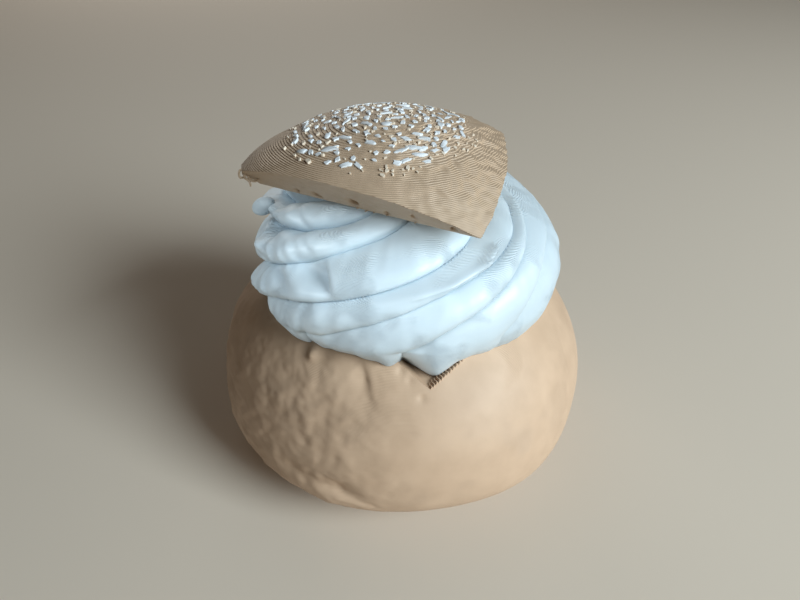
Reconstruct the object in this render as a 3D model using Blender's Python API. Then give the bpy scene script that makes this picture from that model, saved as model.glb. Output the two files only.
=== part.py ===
"""A printed plastic copy of a semla: a round bun, a piped swirl of cream, and a lid cut from the bun's top.

Metres, +Z up. The origin is the middle of the bun's flat base, and the front is towards -Y.
The bun's half width drives the model: most sizes are shares of it.
"""
import math
import random

import bpy
import bmesh
from mathutils import Euler, Matrix, Vector, noise

# Driving sizes
BUN_WIDTH = 0.085
R = BUN_WIDTH / 2
GAP = 0.0003

# Bun: two half superellipses that meet at its widest level; the lower one is cut off flat at the table
BUN_WIDEST = 0.36 * R
BUN_LOWER = 0.48 * R
BUN_TOP = 1.15 * R
BUN_POWER = 2.1
BUN_SEGMENTS = 60
BUN_RINGS = 28
BUN_BASE_RINGS = 3
LUMP_SIZE = 0.0042
LUMP_DEPTH = 0.0003
SMOOTH_SIDE = 0.12
DOUGH_SIZE = 0.021
DOUGH_DEPTH = 0.0005

# Each broad dent of the bun: azimuth, height, spread in degrees and in height, and depth,
# which is less than 0 for a swell
BUN_DENTS = (
    (-38, 0.10 * R, 18, 0.16 * R, -0.0016),
    (-88, 0.05 * R, 30, 0.14 * R, 0.0024),
    (-118, 0.10 * R, 13, 0.035 * R, 0.0008),
    (-140, 0.08 * R, 20, 0.16 * R, 0.0013),
    (180, 0.80 * R, 35, 0.20 * R, -0.0012),
    (-15, 0.35 * R, 20, 0.18 * R, 0.0007),
)

# Hole in the bun's top, left by the lid that was cut out of it
HOLE_MIDDLE = (0.125 * R, -0.005 * R)
HOLE_RADIUS = 0.77 * R
HOLE_CORNER = math.radians(-91)
HOLE_FLOOR = 0.872 * R
HOLE_LEAN = math.radians(45)
HOLE_HEIGHT = 0.4 * R

# Cream: a mound of two half superellipses, wound with spiral ridges
CREAM_MIDDLE = (0.008 * R, 0)
CREAM_RADIUS = 0.782 * R
CREAM_WIDEST = 1.15 * R
CREAM_UPPER = 0.40 * R
CREAM_LOWER = 0.45 * R
CREAM_POWER = 2.3
CREAM_RINGS = 34
CREAM_LOWEST = -50

# Each crease between two ridges: azimuth at the widest level, turn per degree of level,
# the level below which it stands upright, depth, and the further turn that it makes on the upper slope
CREASES = (
    (-50, 0.84, -8, 0.0010, 42),
    (-81, 1.29, -8, 0.0015, 0),
    (-111, 1.38, -12, 0.0012, 15),
    (-141, 1.69, -16, 0.0018, 0),
    (-166, 1.17, -12, 0.0022, 0),
    (-228, 1.94, -8, 0.0026, 0),
    (-258, 1.82, -8, 0.0024, 0),
    (-290, 1.50, -8, 0.0024, 0),
    (-330, 1.40, -8, 0.0014, 0),
    (-370, 1.50, -8, 0.0010, 10),
)
CREASE_SLOPE = (20, 45)
CREASE_TOP = 45
CREASE_TOP_TURN = 1.5
RIDGE_COLUMNS = 9
RIDGE_SKEW = 0.65
RIDGE_FULLNESS = 0.7
RIDGE_MIDDLE = 0.6
RIDGE_FADE = (50, 80)

# Where the ridges stand furthest out: azimuth, spread, and how much more than elsewhere
DEEP_SIDE = (-172, 34, 0.9)

# Each dent of the cream: azimuth, level, spread of each in degrees, and depth, less than 0 for a swell
CREAM_DENTS = (
    (-168, 42, 13, 6, 0.050 * R),
    (-168, 30, 15, 5, 0.055 * R),
    (-158, 33, 12, 4, 0.030 * R),
    (-164, 20, 12, 4, 0.035 * R),
    (-178, 10, 30, 16, 0.085 * R),
    (15, 25, 40, 30, 0.052 * R),
    (-152, -20, 16, 12, 0.04 * R),
    (-108, -24, 17, 14, 0.05 * R),
    (-90, -30, 4, 14, 0.0012),
    (-79, -30, 4, 16, -0.0012),
    (-67, -30, 7, 14, 0.035 * R),
)

# Pocket between two ridges: azimuths where it begins, is deepest and ends, and how it leans, rises and dips
POCKET = (-138, -119, -116)
POCKET_LEAN = 0.52
POCKET_LEVEL = 28
POCKET_HEIGHT = 5.5
POCKET_DEPTH = 0.065 * R

# Ball in which the top ridge ends on the left
KNOB_PLACE = (-0.664 * R, -0.072 * R, 1.390 * R)
KNOB_SIZE = (0.0025, 0.0019, 0.0018)
KNOB_LEAN = math.radians(-25)

# Lid: a cap of a sphere with three leaning cuts and a flat underside through its three corners
LID_SPHERE = 1.10 * R
LID_CORNER_ANGLE = math.radians(40.5)
LID_CORNERS = (math.radians(194), math.radians(298.5), math.radians(60))
LID_REACH = (0.845, 1.0, 1.0)
LID_LEANS = (math.radians(40), math.radians(46), math.radians(46))
LID_PLACE = (-0.048 * R, -0.050 * R, 1.555 * R)
LID_TILT = (math.radians(-2), math.radians(0.6))
LID_SEGMENTS = 64
LID_RINGS = 40
LID_LUMP_SIZE = 0.2 * R
LID_LUMP_DEPTH = 0.00025

# Where the lid's dome swells above a true sphere: place, spread and rise
LID_SWELLS = (
    ((-0.58 * R, -0.12 * R), 0.24 * R, 0.0014),
    ((0.50 * R, 0.05 * R), 0.15 * R, 0.0005),
)

# White flecks on the lid, thickest round its apex
FLECK_COUNT = 150
FLECK_TRIES = 60
FLECK_SPREAD = 0.38 * R
FLECK_CROWDING = 0.62
FLECK_MIDDLE = (-0.05 * R, -0.03 * R)
FLECK_MARGIN = 0.0018
FLECK_LENGTH = (0.0009, 0.0034)
FLECK_WIDTH = (0.0007, 0.0013)
FLECK_RISE = 0.00025
FLECK_SINK = 0.0006
FLECK_SPACE = 0.0017
FLECK_TURN = 0.7
FLECK_SEED = 7

SHARP_EDGE = math.radians(40)

BUN_TAN = (0.62, 0.44, 0.30)
CREAM_WHITE = (0.74, 0.84, 0.90)
LID_TAN = (0.56, 0.43, 0.31)


def clear_scene():
    for thing in list(bpy.data.objects):
        bpy.data.objects.remove(thing, do_unlink=True)


def new_collection(name):
    made = bpy.data.collections.new(name)
    bpy.context.scene.collection.children.link(made)
    return made


def plastic(name, colour):
    material = bpy.data.materials.new(name)
    material.use_nodes = True
    shader = material.node_tree.nodes["Principled BSDF"]
    shader.inputs["Base Color"].default_value = (*colour, 1)
    shader.inputs["Roughness"].default_value = 0.55
    shader.inputs["Metallic"].default_value = 0
    return material


def add_mesh(mesh_maker, name, collection):
    """Turns a bmesh into an object in a collection."""
    mesh = bpy.data.meshes.new(name)
    mesh_maker.normal_update()
    mesh_maker.to_mesh(mesh)
    mesh_maker.free()
    thing = bpy.data.objects.new(name, mesh)
    collection.objects.link(thing)
    return thing


def as_cutter(thing):
    thing.hide_render = True
    thing.display_type = "WIRE"
    return thing


def combine(thing, other, operation, solver="EXACT"):
    """Adds a Boolean with one object, or with every object of a collection."""
    modifier = thing.modifiers.new(operation.lower(), "BOOLEAN")
    modifier.operation = operation
    modifier.solver = solver
    if isinstance(other, bpy.types.Collection):
        modifier.operand_type = "COLLECTION"
        modifier.collection = other
    else:
        modifier.object = other
    return modifier


def soft_step(low, high, value):
    """0 below low, 1 above high, smooth between."""
    t = min(1, max(0, (value - low) / (high - low)))
    return t * t * (3 - 2 * t)


def swell(value, middle, width):
    """A rounded hump of height 1 at middle."""
    return math.exp(-((value - middle) / width) ** 2)


def around(angle, middle):
    """The difference of two azimuths in degrees, from -180 to 180."""
    return (angle - middle + 180) % 360 - 180


def half_superellipse(level, power):
    """Share of the radius and of the height at a level from 0 at the widest ring to pi/2 at the pole."""
    return math.cos(level) ** (2 / power), math.sin(level) ** (2 / power)


def bun_profile(share):
    """Radius and height, for a share of 0 at the top to 1 at the base's rim."""
    base_level = math.asin(BUN_WIDEST / BUN_LOWER)
    level = math.pi / 2 - share * (math.pi / 2 + base_level)
    if level >= 0:
        across, up = half_superellipse(level, BUN_POWER)
        return R * across, BUN_WIDEST + (BUN_TOP - BUN_WIDEST) * up
    return R * math.cos(level), BUN_WIDEST + BUN_LOWER * math.sin(level)


def bun_lumps(azimuth, radius, height):
    """How far the crackled dough stands in or out: rough on the left, nearly smooth on the right."""
    place = Vector((radius * math.cos(azimuth), radius * math.sin(azimuth), height))
    rough = SMOOTH_SIDE + (1 - SMOOTH_SIDE) * soft_step(-0.2, 0.5, -math.cos(azimuth))
    crackle = noise.noise(place / LUMP_SIZE) + 0.5 * noise.noise(place * 2 / LUMP_SIZE)
    stand = LUMP_DEPTH * rough * crackle + DOUGH_DEPTH * noise.noise(place / DOUGH_SIZE)
    for middle, level, spread, rise, depth in BUN_DENTS:
        stand -= depth * swell(around(math.degrees(azimuth), middle), 0, spread) * swell(height, level, rise)
    return stand


def make_bun_body(name, collection, grow=0.0):
    """The whole dome of the bun, before the lid was cut out of it."""
    shape = bmesh.new()
    rings = BUN_RINGS + BUN_BASE_RINGS
    bmesh.ops.create_uvsphere(shape, u_segments=BUN_SEGMENTS, v_segments=rings, radius=1)
    for vert in shape.verts:
        azimuth = math.atan2(vert.co.y, vert.co.x)
        ring = math.acos(max(-1, min(1, vert.co.z))) / math.pi * rings
        if ring <= BUN_RINGS:
            radius, height = bun_profile(ring / BUN_RINGS)
            fade = soft_step(0, 0.3, ring / BUN_RINGS)
            radius += fade * bun_lumps(azimuth, radius, height) + grow * min(1, radius / R * 1.5)
            height += grow * (1 - fade) + grow * soft_step(0, BUN_WIDEST, height)
        else:
            radius = bun_profile(1)[0] * (rings - ring) / BUN_BASE_RINGS
            height = 0
        vert.co = (radius * math.cos(azimuth), radius * math.sin(azimuth), height)
    return add_mesh(shape, name, collection)


def side_lines(corners, leans, height):
    """For each side of a three-cornered block: the way it faces, and how far out it stands at a height."""
    lines = []
    for k, lean in enumerate(leans):
        a = Vector(corners[k])
        b = Vector(corners[(k + 1) % 3])
        out = Vector((b.y - a.y, a.x - b.x)).normalized()
        lines.append((out, out.dot(a) + height * math.tan(lean)))
    return lines


def three_sided(name, collection, corners, leans, height):
    """A block on a flat three-cornered foot, whose sides lean outwards going up."""
    lines = side_lines(corners, leans, height)
    tops = []
    for k in range(3):
        (n, d), (m, e) = lines[k - 1], lines[k]
        tops.append(Matrix((n, m)).inverted() @ Vector((d, e)))
    shape = bmesh.new()
    bmesh.ops.create_cone(shape, cap_ends=True, segments=3, radius1=1, radius2=1, depth=2)
    shape.verts.ensure_lookup_table()
    for vert in shape.verts:
        k = round((math.degrees(math.atan2(vert.co.y, vert.co.x)) - 90) / 120) % 3
        place = Vector(corners[k]) if vert.co.z < 0 else tops[k]
        vert.co = (place.x, place.y, 0 if vert.co.z < 0 else height)
    return add_mesh(shape, name, collection)


def ring_corners(middle, radius, turns):
    return [(middle[0] + radius * math.cos(turn), middle[1] + radius * math.sin(turn)) for turn in turns]


def make_plug(name, collection, shrink=0.0):
    """What was cut out of the bun's top: its sides lean outwards above a flat floor."""
    turns = [HOLE_CORNER + math.radians(120 * k) for k in range(3)]
    corners = ring_corners(HOLE_MIDDLE, HOLE_RADIUS - 2 * shrink, turns)
    plug = three_sided(name, collection, corners, [HOLE_LEAN] * 3, HOLE_HEIGHT)
    plug.location.z = HOLE_FLOOR + shrink
    return plug


def make_bun(collection, cutters):
    bun = make_bun_body("bun", collection)
    combine(bun, as_cutter(make_plug("hole_plug", cutters)), "DIFFERENCE")
    bun.data.materials.append(plastic("bun_tan", BUN_TAN))
    return bun


def crease_azimuth(crease, level):
    """Where a crease stands at a level in degrees: upright at the foot, then winding up round the mound."""
    start, turn, foot, _, further = crease
    low = start + turn * min(max(level, foot), CREASE_TOP)
    return low + further * soft_step(*CREASE_SLOPE, level) + CREASE_TOP_TURN * max(0, level - CREASE_TOP)


def on_ridge(ridge, share, level):
    """The azimuth at a share of the way from one crease to the next, and the ridge's rise there."""
    crease = CREASES[ridge]
    beyond = CREASES[(ridge + 1) % len(CREASES)]
    high = crease_azimuth(crease, level)
    low = crease_azimuth(beyond, level)
    if low > high:
        low -= 360
    bulge = math.sin(math.pi * share ** RIDGE_SKEW) ** RIDGE_FULLNESS
    depth = crease[3] + (beyond[3] - crease[3]) * share
    return high + (low - high) * share, depth * (bulge - RIDGE_MIDDLE)


def cream_relief(azimuth, level, ridge_rise):
    """All of the cream's relief: ridges, deeper on the left, and the hollows between their ends."""
    middle, spread, more = DEEP_SIDE
    relief = ridge_rise * (1 + more * swell(around(azimuth, middle), 0, spread))
    relief *= 1 - soft_step(*RIDGE_FADE, level)
    for middle, height, spread, rise, depth in CREAM_DENTS:
        relief -= depth * swell(around(azimuth, middle), 0, spread) * swell(level, height, rise)
    side = around(azimuth, 0) + POCKET_LEAN * (level - POCKET_LEVEL)
    pocket = soft_step(POCKET[0], POCKET[1], side) * (1 - soft_step(POCKET[1], POCKET[2], side))
    relief -= POCKET_DEPTH * pocket * swell(level, POCKET_LEVEL, POCKET_HEIGHT)
    return relief


def cream_point(column, level):
    """A point of the cream's skin, at a column counted in ridges and a level in degrees."""
    ridge = int(column) % len(CREASES)
    azimuth, ridge_rise = on_ridge(ridge, column % 1, level)
    angle = math.radians(level)
    across, up = half_superellipse(abs(angle), CREAM_POWER)
    rise = CREAM_UPPER if level >= 0 else -CREAM_LOWER
    relief = cream_relief(azimuth, level, ridge_rise)
    radius = CREAM_RADIUS * across + relief * math.cos(angle)
    height = CREAM_WIDEST + rise * up + relief * math.sin(angle)
    turn = math.radians(azimuth)
    return Vector((*CREAM_MIDDLE, height)) + radius * Vector((math.cos(turn), math.sin(turn), 0))


def lid_matrix():
    return Matrix.Translation(LID_PLACE) @ Euler((*LID_TILT, 0)).to_matrix().to_4x4()


def under_lid(point):
    """Presses a point of the cream down to the lid's underside."""
    matrix = lid_matrix()
    up = matrix.to_3x3() @ Vector((0, 0, 1))
    room = (point - matrix.translation).dot(up)
    if room > -GAP:
        point = point - up * (room + GAP)
    return point


def make_knob(cutters):
    shape = bmesh.new()
    bmesh.ops.create_icosphere(shape, subdivisions=2, radius=1)
    lean = Matrix.Rotation(KNOB_LEAN, 4, "Y")
    shape.transform(Matrix.Translation(KNOB_PLACE) @ lean @ Matrix.Diagonal((*KNOB_SIZE, 1)))
    return as_cutter(add_mesh(shape, "knob", cutters))


def make_cream(collection, cutters):
    shape = bmesh.new()
    columns = RIDGE_COLUMNS * len(CREASES)
    bmesh.ops.create_uvsphere(shape, u_segments=columns, v_segments=CREAM_RINGS, radius=1)
    for vert in shape.verts:
        ring = round(math.acos(max(-1, min(1, vert.co.z))) / math.pi * CREAM_RINGS)
        column = round(math.atan2(-vert.co.y, vert.co.x) / (2 * math.pi) * columns) % columns
        level = 90 + (CREAM_LOWEST - 90) * min(1, ring / (CREAM_RINGS - 1))
        point = cream_point(column / RIDGE_COLUMNS, level)
        if ring == CREAM_RINGS:
            point.xy = CREAM_MIDDLE
        vert.co = under_lid(point)
    cream = add_mesh(shape, "cream", collection)
    clearance = as_cutter(make_bun_body("bun_clearance", cutters, GAP))
    combine(clearance, as_cutter(make_plug("clearance_plug", cutters, GAP)), "DIFFERENCE")
    combine(cream, clearance, "DIFFERENCE")
    combine(cream, make_knob(cutters), "UNION")
    cream.data.materials.append(plastic("cream_white", CREAM_WHITE))
    return cream


def lid_relief(point):
    """How far the dome stands out from a true sphere."""
    rise = LID_LUMP_DEPTH * noise.noise(point / LID_LUMP_SIZE)
    for place, spread, height in LID_SWELLS:
        rise += height * swell((point.xy - Vector(place)).length, 0, spread)
    return rise


def lid_dome(place):
    """Lifts a place in the lid's own plane onto its dome, and gives the way that the dome faces there."""
    drop = LID_SPHERE * math.cos(LID_CORNER_ANGLE)
    point = Vector((place.x, place.y, math.sqrt(LID_SPHERE ** 2 - place.length_squared)))
    normal = point.normalized()
    return point + normal * lid_relief(point) - Vector((0, 0, drop)), normal


def lid_corners():
    radius = LID_SPHERE * math.sin(LID_CORNER_ANGLE)
    return [ring_corners((0, 0), radius * reach, [turn])[0] for reach, turn in zip(LID_REACH, LID_CORNERS)]


def on_lid(place):
    """Whether a fleck there lies clear of the lid's edges."""
    lines = side_lines(lid_corners(), LID_LEANS, lid_dome(place)[0].z)
    return all(out.dot(place) < reach - FLECK_MARGIN for out, reach in lines)


def fleck_places(draw):
    """Scattered places that keep their distance, closest together round the apex."""
    places = []
    tries = 0
    while len(places) < FLECK_COUNT and tries < FLECK_TRIES * FLECK_COUNT:
        tries += 1
        reach = FLECK_SPREAD * draw.random() ** FLECK_CROWDING
        turn = draw.uniform(0, 2 * math.pi)
        place = Vector((FLECK_MIDDLE[0] + reach * math.cos(turn), FLECK_MIDDLE[1] + reach * math.sin(turn)))
        if on_lid(place) and all((place - other).length > FLECK_SPACE for other in places):
            places.append(place)
    return places


def make_flecks(collection):
    """Small flat blocks, longest along the rings round the apex."""
    draw = random.Random(FLECK_SEED)
    for n, place in enumerate(fleck_places(draw)):
        middle, normal = lid_dome(place)
        ring = math.atan2(place.y, place.x) + math.pi / 2 + draw.uniform(-FLECK_TURN, FLECK_TURN)
        length = FLECK_LENGTH[0] + (FLECK_LENGTH[1] - FLECK_LENGTH[0]) * draw.random() ** 3
        width = draw.uniform(*FLECK_WIDTH)
        shape = bmesh.new()
        bmesh.ops.create_cube(shape, size=1)
        frame = normal.to_track_quat("Z", "Y").to_matrix().to_4x4()
        along = Matrix.Rotation(ring - frame.to_euler().z, 4, "Z")
        size = Matrix.Diagonal((length, width, FLECK_RISE + FLECK_SINK, 1))
        lift = Matrix.Translation(middle + normal * (FLECK_RISE - FLECK_SINK) / 2)
        shape.transform(lift @ frame @ along @ size)
        add_mesh(shape, "fleck_%03d" % n, collection)


def make_lid(collection, cutters, flecks):
    shape = bmesh.new()
    bmesh.ops.create_uvsphere(shape, u_segments=LID_SEGMENTS, v_segments=LID_RINGS, radius=LID_SPHERE)
    for vert in shape.verts:
        vert.co += vert.co.normalized() * lid_relief(vert.co)
        vert.co.z -= LID_SPHERE * math.cos(LID_CORNER_ANGLE)
    lid = add_mesh(shape, "lid", collection)
    block = as_cutter(three_sided("lid_block", cutters, lid_corners(), LID_LEANS, HOLE_HEIGHT))
    combine(lid, block, "INTERSECT")
    make_flecks(flecks)
    combine(lid, flecks, "UNION", "MANIFOLD")
    solid = bpy.data.meshes.new_from_object(lid.evaluated_get(bpy.context.evaluated_depsgraph_get()))
    lid.modifiers.clear()
    lid.data = solid
    for fleck in list(flecks.objects):
        bpy.data.objects.remove(fleck, do_unlink=True)
    lid.matrix_world = lid_matrix()
    solid.materials.clear()
    solid.materials.append(plastic("lid_tan", LID_TAN))
    return lid


def shade(thing):
    """Rounds the shading, but keeps the cuts crisp."""
    thing.data.shade_smooth()
    thing.data.set_sharp_from_angle(angle=SHARP_EDGE)


def main():
    clear_scene()
    semla = new_collection("semla")
    cutters = new_collection("cutters")
    flecks = new_collection("flecks")
    pieces = [make_bun(semla, cutters), make_cream(semla, cutters), make_lid(semla, cutters, flecks)]
    bpy.context.view_layer.update()
    for piece in pieces:
        shade(piece)


main()
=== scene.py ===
# %% [markdown]
# # A semla printed in plastic
# The real object is a copy of a Swedish cream bun, built up in thin layers by a printer. It has a round tan
# bun, a white swirl of cream that winds up out of a hole in the bun's top, and the three-sided lid that was
# cut from the hole, laid back on the cream. Each of the three is one piece here, with a finer mesh than its
# solid has.

# %% Open the frame
import math
import random

import bmesh
import bpy
from mathutils import Euler, Matrix, Vector, noise


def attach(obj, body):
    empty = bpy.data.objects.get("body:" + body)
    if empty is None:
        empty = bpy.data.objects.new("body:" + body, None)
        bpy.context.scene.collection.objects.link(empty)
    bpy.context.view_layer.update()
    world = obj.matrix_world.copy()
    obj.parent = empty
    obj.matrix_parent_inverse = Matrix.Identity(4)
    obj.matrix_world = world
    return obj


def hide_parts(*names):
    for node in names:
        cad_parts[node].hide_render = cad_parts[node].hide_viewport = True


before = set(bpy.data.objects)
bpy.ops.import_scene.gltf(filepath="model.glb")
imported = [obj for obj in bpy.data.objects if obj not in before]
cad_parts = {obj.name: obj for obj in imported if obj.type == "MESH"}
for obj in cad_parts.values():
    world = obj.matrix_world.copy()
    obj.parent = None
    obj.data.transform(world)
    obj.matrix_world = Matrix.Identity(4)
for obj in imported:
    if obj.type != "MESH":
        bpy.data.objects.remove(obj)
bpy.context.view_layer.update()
print("nodes", sorted(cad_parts))

# %% [markdown]
# ## The size that drives the others
# Half the bun's width is the measure of everything else, so most sizes below are shares of it. The
# printer's layers are the other measure: they are just under a fifth of a millimetre thick, and they show
# on every surface.

# %% Driving sizes
R = 0.0425
LAYER = 0.00018
GAP = 0.0001

# %% [markdown]
# ## Camera
# The picture was taken from a little above, close to the object, with a wide lens, as a telephone does. A
# close wide lens makes the lid look large against the base, and no crop of a far view can give that. The
# near clipping distance has to shrink with the object, or Blender cuts away whatever is nearer than ten
# centimetres.

# %% Camera
LENS_MM = 27
LOOK_DOWN = 37
lens = bpy.data.cameras.new("camera")
lens.lens = LENS_MM
lens.sensor_width = 36
lens.clip_start = 0.001
lens.clip_end = 20
eye = bpy.data.objects.new("camera", lens)
bpy.context.scene.collection.objects.link(eye)
eye.location = (-0.016 * R, -2.62 * R, 2.75 * R)
eye.rotation_euler = (math.radians(90 - LOOK_DOWN), 0, 0)
bpy.context.scene.camera = eye
print("camera", [round(v, 3) for v in eye.location])

# %% [markdown]
# ## Small helpers for rounded shapes
# Organic shapes are easier to steer as sums of soft steps and rounded humps than as hand-moved points. Each
# of these helpers gives a number between 0 and 1, or an angle, and the pieces below add them up.


# %% Helpers for numbers
def soft_step(low, high, value):
    """0 below low, 1 above high, smooth between."""
    t = min(1, max(0, (value - low) / (high - low)))
    return t * t * (3 - 2 * t)


def swell(value, middle, width):
    """A rounded hump of height 1 at middle."""
    return math.exp(-((value - middle) / width) ** 2)


def around(angle, middle):
    """The difference of two azimuths in degrees, from -180 to 180."""
    return (angle - middle + 180) % 360 - 180


STEEP_SHARE = 0.4


def lip(place, start, end, width):
    """A hump of height 1 along a short line, slow to rise on the line's right and steep on its left."""
    line = Vector((end[0] - start[0], end[1] - start[1]))
    away = Vector((around(place[0], start[0]), place[1] - start[1]))
    along = away.dot(line) / line.length_squared
    if not -1 < along < 2:
        return 0.0
    beyond = max(0, -along, along - 1) * line.length
    across = (line.x * away.y - line.y * away.x) / line.length
    reach = width if across < 0 else STEEP_SHARE * width
    return math.exp(-(across / reach) ** 2 - (beyond / width) ** 2)


def half_superellipse(level, power):
    """Share of the radius and of the height at a level from 0 at the widest ring to pi/2 at the pole."""
    return math.cos(level) ** (2 / power), math.sin(level) ** (2 / power)


# %% [markdown]
# ## A skin from rings
# A thing that was built in layers is best meshed in rings: a list of closed rings of points, joined ring to
# ring by four-sided faces, with a fan at each end. The faces then run with the layers, and steps stay
# crisp.


# %% Mesh from rings
def skin(name, rings, low, high):
    """Joins rings of points, lowest first, and closes both ends with a fan to a single point."""
    count = len(rings[0])
    points = [p for ring in rings for p in ring] + [low, high]
    faces = []
    for k in range(len(rings) - 1):
        for j in range(count):
            n = (j + 1) % count
            faces.append((k * count + j, k * count + n, (k + 1) * count + n, (k + 1) * count + j))
    last = (len(rings) - 1) * count
    for j in range(count):
        n = (j + 1) % count
        faces.append((len(points) - 2, n, j))
        faces.append((len(points) - 1, last + j, last + n))
    mesh = bpy.data.meshes.new(name)
    mesh.from_pydata([tuple(p) for p in points], [], faces)
    mesh.update()
    thing = bpy.data.objects.new(name, mesh)
    bpy.context.scene.collection.objects.link(thing)
    return thing


def cut(thing, tool, operation="DIFFERENCE"):
    """Applies a Boolean and throws the tool away."""
    modifier = thing.modifiers.new("cut", "BOOLEAN")
    modifier.operation = operation
    modifier.solver = "EXACT"
    modifier.object = tool
    mesh = bpy.data.meshes.new_from_object(thing.evaluated_get(bpy.context.evaluated_depsgraph_get()))
    thing.modifiers.clear()
    thing.data = mesh
    bpy.data.objects.remove(tool, do_unlink=True)
    return thing


def smooth(thing, degrees):
    """Rounds the shading, but keeps an edge crisp where its faces meet at more than this angle."""
    thing.data.shade_smooth()
    thing.data.set_sharp_from_angle(angle=math.radians(degrees))


# %% [markdown]
# ## The bun
# The real bun is a scanned or sculpted form: a full dome with a flat underside, crackled on the left and
# nearly smooth on the right. Its profile is two half superellipses that meet at the widest level. The
# crackle is noise that is stretched along the layers, because the wrinkles run round the bun and not up it.

# %% Profile of the bun
BUN_WIDEST = 0.36 * R
BUN_LOWER = 0.48 * R
BUN_TOP = 1.15 * R
BUN_POWER = 2.1
BUN_COLUMNS = 520
BUN_ROWS = 170


def bun_profile(share):
    """Radius and height, for a share of 0 at the top to 1 at the base's rim."""
    base_level = math.asin(BUN_WIDEST / BUN_LOWER)
    level = math.pi / 2 - share * (math.pi / 2 + base_level)
    if level >= 0:
        across, up = half_superellipse(level, BUN_POWER)
        return R * across, BUN_WIDEST + (BUN_TOP - BUN_WIDEST) * up
    return R * math.cos(level), BUN_WIDEST + BUN_LOWER * math.sin(level)


print("bun: base %.1f mm across" % (2000 * bun_profile(1)[0]))

# %% Relief of the bun
LUMP_SIZE = 0.0042
LUMP_DEPTH = 0.0003
SMOOTH_SIDE = 0.12
DOUGH_SIZE = 0.021
DOUGH_DEPTH = 0.0005

# Each broad dent: azimuth, height, spread in degrees and in height, and depth, less than 0 for a swell
BUN_DENTS = (
    (-38, 0.10 * R, 18, 0.16 * R, -0.0016),
    (-88, 0.05 * R, 30, 0.14 * R, 0.0024),
    (-118, 0.10 * R, 13, 0.035 * R, 0.0008),
    (-140, 0.08 * R, 20, 0.16 * R, 0.0013),
    (180, 0.80 * R, 35, 0.20 * R, -0.0012),
    (-15, 0.35 * R, 20, 0.18 * R, 0.0007),
)

# Small marks in the same terms: a nub under the cream with a hollow beside it, and a shallow pit
BUN_MARKS = (
    (-124.4, 0.934 * R, 1.9, 0.024 * R, -0.0014),
    (-128.5, 0.935 * R, 2.5, 0.025 * R, 0.0004),
    (-119.5, 0.915 * R, 3.0, 0.040 * R, 0.0004),
    (-91, 0.926 * R, 1.5, 0.014 * R, 0.0005),
    (-88, 0.900 * R, 1.2, 0.010 * R, 0.0003),
    (-84.4, 0.846 * R, 1.2, 0.010 * R, 0.0004),
)

# Short creases and folds: azimuth and height in R of both ends, width in degrees, and height,
# less than 0 for a crease
BUN_FOLDS = (
    ((-106.0, 0.935), (-103.0, 0.885), 3.2, -0.0005),
    ((-103.0, 0.885), (-100.5, 0.835), 3.0, -0.0003),
    ((-101.0, 0.345), (-106.9, 0.385), 3.6, -0.0006),
    ((-106.9, 0.385), (-122.0, 0.430), 3.6, -0.0006),
    ((-104.0, 0.290), (-118.0, 0.330), 4.0, 0.0002),
)
DEGREES_PER_R = 57.3
CRACKLE_ACROSS = 0.0010
CRACKLE_ALONG = 0.0021
CRACKLE_DEPTH = 0.00018
CRACKLE_SLANT = math.radians(4)
CRACKLE_OCTAVE = 2.1
CALM_SHARE = 0.9
ROUGH_FROM = (-0.2, 0.5)


def bun_relief(azimuth, radius, height, fine):
    """How far the dough stands in or out of the profile."""
    place = Vector((radius * math.cos(azimuth), radius * math.sin(azimuth), height))
    rough = SMOOTH_SIDE + (1 - SMOOTH_SIDE) * soft_step(*ROUGH_FROM, -math.cos(azimuth))
    crackle = noise.noise(place / LUMP_SIZE) + 0.5 * noise.noise(place * 2 / LUMP_SIZE)
    stand = LUMP_DEPTH * rough * crackle + DOUGH_DEPTH * noise.noise(place / DOUGH_SIZE)
    side = math.degrees(azimuth)
    for middle, level, spread, rise, depth in BUN_DENTS:
        stand -= depth * swell(around(side, middle), 0, spread) * swell(height, level, rise)
    if not fine:
        return stand
    for middle, level, spread, rise, depth in BUN_MARKS:
        stand -= depth * swell(around(side, middle), 0, spread) * swell(height, level, rise)
    for start, end, width, up in BUN_FOLDS:
        ends = [(turn, level * DEGREES_PER_R) for turn, level in (start, end)]
        stand += up * lip((side, height / R * DEGREES_PER_R), *ends, width)
    skin_place = Vector((R * (azimuth % (2 * math.pi)), R * math.atan2(height - BUN_WIDEST, radius)))
    streak = Vector((math.cos(CRACKLE_SLANT), -math.sin(CRACKLE_SLANT)))
    grain = Vector((skin_place.dot(streak) / CRACKLE_ALONG, skin_place.cross(streak) / CRACKLE_ACROSS, 0))
    wrinkle = noise.noise(grain) + 0.5 * noise.noise(grain * CRACKLE_OCTAVE)
    return stand + CRACKLE_DEPTH * (rough - CALM_SHARE * SMOOTH_SIDE) * wrinkle


# %% Mesh of the bun
def bun_body(name, columns, rows, grow=0.0, fine=True):
    """The whole dome, before the lid was cut out of it."""
    rings = []
    for k in range(rows, 0, -1):
        share = k / rows
        flat_radius, flat_height = bun_profile(share)
        fade = soft_step(0, 0.3, share)
        ring = []
        for j in range(columns):
            azimuth = 2 * math.pi * j / columns - math.pi
            radius = flat_radius + fade * bun_relief(azimuth, flat_radius, flat_height, fine)
            radius += grow * min(1, flat_radius / R * 1.5)
            height = flat_height + grow * (1 - fade) + grow * soft_step(0, BUN_WIDEST, flat_height)
            ring.append((radius * math.cos(azimuth), radius * math.sin(azimuth), height))
        rings.append(ring)
    return skin(name, rings, (0, 0, 0), (0, 0, BUN_TOP + grow))


# %% [markdown]
# ## The hole in the bun
# The lid was cut out with three straight, leaning cuts, so the hole has three corners and leaning walls.
# The printer turned those walls into tiny stairs. The cutter is therefore a stack of layers, each a little
# wider than the one below, and a Boolean presses its stairs into the bun.

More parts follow.
